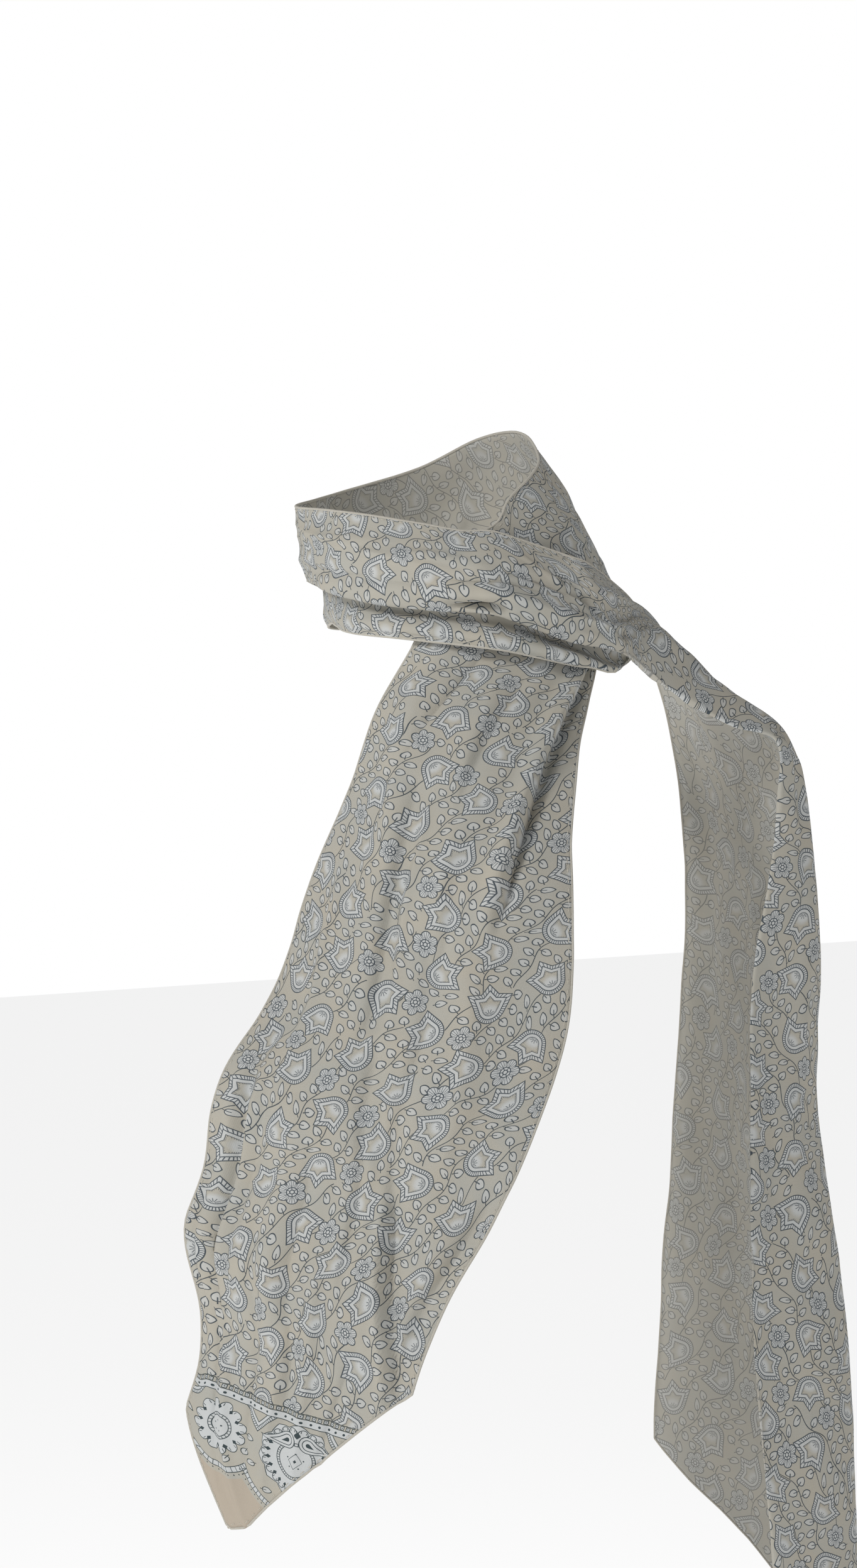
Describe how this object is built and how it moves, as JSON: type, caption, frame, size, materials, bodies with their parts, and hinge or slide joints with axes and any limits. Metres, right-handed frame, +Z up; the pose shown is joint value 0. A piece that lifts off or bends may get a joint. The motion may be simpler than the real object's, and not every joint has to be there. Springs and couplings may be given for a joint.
{
  "type": "cotton scarf",
  "caption": "Long printed cotton scarf wound once round a neck, with one pointed end hanging down the chest and the other over the shoulder and down the back.",
  "frame": {"origin": "middle of the wearer's neck, at the height where the scarf holds on", "axes": "+Z up, -Y the way the wearer faces, +X the wearer's left"},
  "size_m": [0.221, 0.2983, 0.5755],
  "materials": {
    "printed_cotton": "matt, fine plain weave, beige-grey ground with slate and white print"
  },
  "bodies": {
    "root": {"front_tail": "printed_cotton", "nape_turn": "printed_cotton", "throat_wrap": "printed_cotton", "shoulder_run": "printed_cotton", "back_tail": "printed_cotton"}
  },
  "joints": []
}
